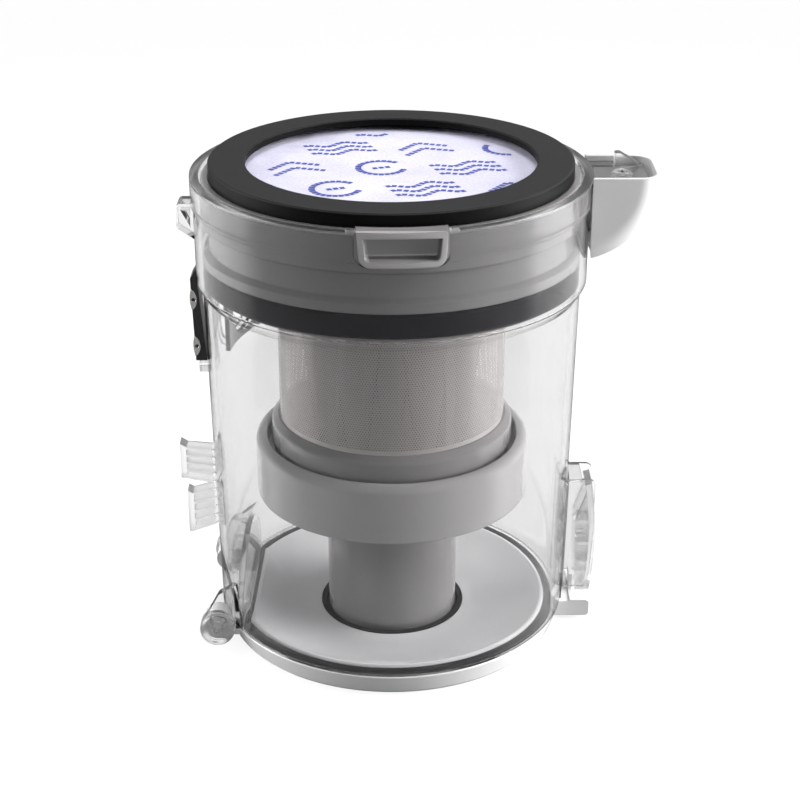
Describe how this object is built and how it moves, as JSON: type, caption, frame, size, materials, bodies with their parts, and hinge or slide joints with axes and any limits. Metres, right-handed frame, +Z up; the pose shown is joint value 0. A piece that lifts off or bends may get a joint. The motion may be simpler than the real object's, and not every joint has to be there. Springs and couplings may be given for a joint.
{
  "type": "vacuum dust bin",
  "caption": "Clear cylindrical vacuum dust bin with a hinged bottom lid, side latch, lift-out cyclone core with mesh screen, and a round filter on top.",
  "frame": {"origin": "on the cup's axis, on the flat underside of the closed bottom lid", "axes": "+Z up along the cup's axis, -Y the front with the finger notch, +X the latch and hook side"},
  "size_m": [0.1477, 0.1212, 0.154],
  "materials": {
    "clear_plastic": "clear moulded polycarbonate, high gloss",
    "hook_plastic": "pale grey, satin",
    "lid_plastic": "pale grey, satin",
    "grey_plastic": "mid grey moulded plastic, satin",
    "black_plastic": "black, satin",
    "black_rubber": "matt black rubber",
    "dark_rubber": "dark violet grey rubber",
    "steel": "plated steel",
    "contact_metal": "bright sprung strip",
    "mesh_steel": "perforated stainless steel",
    "filter_sheet": "white non-woven cover sheet",
    "filter_paper": "pleated filter paper"
  },
  "bodies": {
    "cup": {"dust_cup": "clear_plastic", "hook_cover": "hook_plastic", "hook_screw": "steel", "contact_rail": "black_plastic", "contact_springs": "contact_metal", "hinge_pins": "steel"},
    "lid": {"bottom_lid": "lid_plastic", "lid_seal": "dark_rubber", "socket_seal": "black_rubber"},
    "latch": {"latch_lever": "clear_plastic"},
    "cyclone": {"cyclone_collar": "grey_plastic", "collar_seal": "dark_rubber", "mesh_frame": "grey_plastic", "mesh_screen": "mesh_steel", "skirt": "grey_plastic", "dust_tube": "grey_plastic", "cone_pack": "grey_plastic", "vortex_plate": "grey_plastic", "pack_screws": "steel", "collar_screws": "steel", "frame_screws": "steel"},
    "filter": {"filter_ring": "black_rubber", "filter_film": "filter_sheet", "filter_media": "filter_paper", "filter_grid": "black_plastic"}
  },
  "joints": [
    {"name": "lid_hinge", "type": "hinge", "parent": "cup", "child": "lid", "pos_m": [-0.0555, 0, 0.007], "axis": [0, 1, 0], "range_deg": [0, 95]},
    {"name": "latch_press", "type": "hinge", "parent": "cup", "child": "latch", "pos_m": [0.061, 0, 0.03], "axis": [0, -1, 0], "range_deg": [0, 8], "stiffness_Nm_per_rad": 0.3},
    {"name": "cyclone_lift", "type": "slide", "parent": "cup", "child": "cyclone", "axis": [0, 0, 1], "range_m": [0, 0.152]},
    {"name": "filter_lift", "type": "slide", "parent": "cyclone", "child": "filter", "axis": [0, 0, 1], "range_m": [0, 0.03]}
  ]
}
